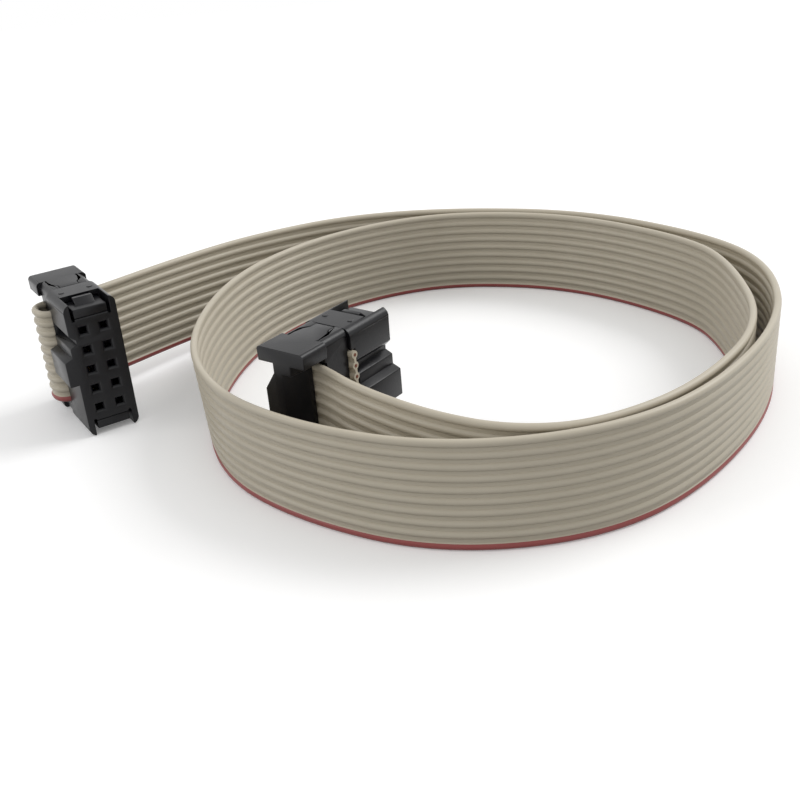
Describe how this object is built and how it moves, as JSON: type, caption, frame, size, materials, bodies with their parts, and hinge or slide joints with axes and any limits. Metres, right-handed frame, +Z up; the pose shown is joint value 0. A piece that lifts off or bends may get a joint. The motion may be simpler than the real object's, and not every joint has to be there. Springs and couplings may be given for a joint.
{
  "type": "ribbon cable",
  "caption": "Flat ribbon cable with a red edge wire, coiled on its edge, with a polarised two-row pin socket and folded strain relief on each end.",
  "frame": {"origin": "under the middle of the whole part's bounding box, on the surface that it stands on", "axes": "+Z up, +X to the right and +Y away from the viewer of the picture"},
  "size_m": [0.0929, 0.0753, 0.0173],
  "materials": {
    "ribbon": "satin grey PVC insulation with a red edge wire",
    "socket": "black glass-filled plastic, satin",
    "contacts": "gold-flashed stamping",
    "conductors": "bare copper"
  },
  "bodies": {
    "root": {"ribbon": "ribbon", "outer_housing": "socket", "outer_cover": "socket", "outer_strain_relief": "socket", "outer_contact_01": "contacts", "outer_contact_02": "contacts", "outer_contact_03": "contacts", "outer_contact_04": "contacts", "outer_contact_05": "contacts", "outer_contact_06": "contacts", "outer_contact_07": "contacts", "outer_contact_08": "contacts", "outer_contact_09": "contacts", "outer_contact_10": "contacts", "outer_conductor_ends": "conductors", "inner_housing": "socket", "inner_cover": "socket", "inner_strain_relief": "socket", "inner_contact_01": "contacts", "inner_contact_02": "contacts", "inner_contact_03": "contacts", "inner_contact_04": "contacts", "inner_contact_05": "contacts", "inner_contact_06": "contacts", "inner_contact_07": "contacts", "inner_contact_08": "contacts", "inner_contact_09": "contacts", "inner_contact_10": "contacts", "inner_conductor_ends": "conductors"}
  },
  "joints": []
}
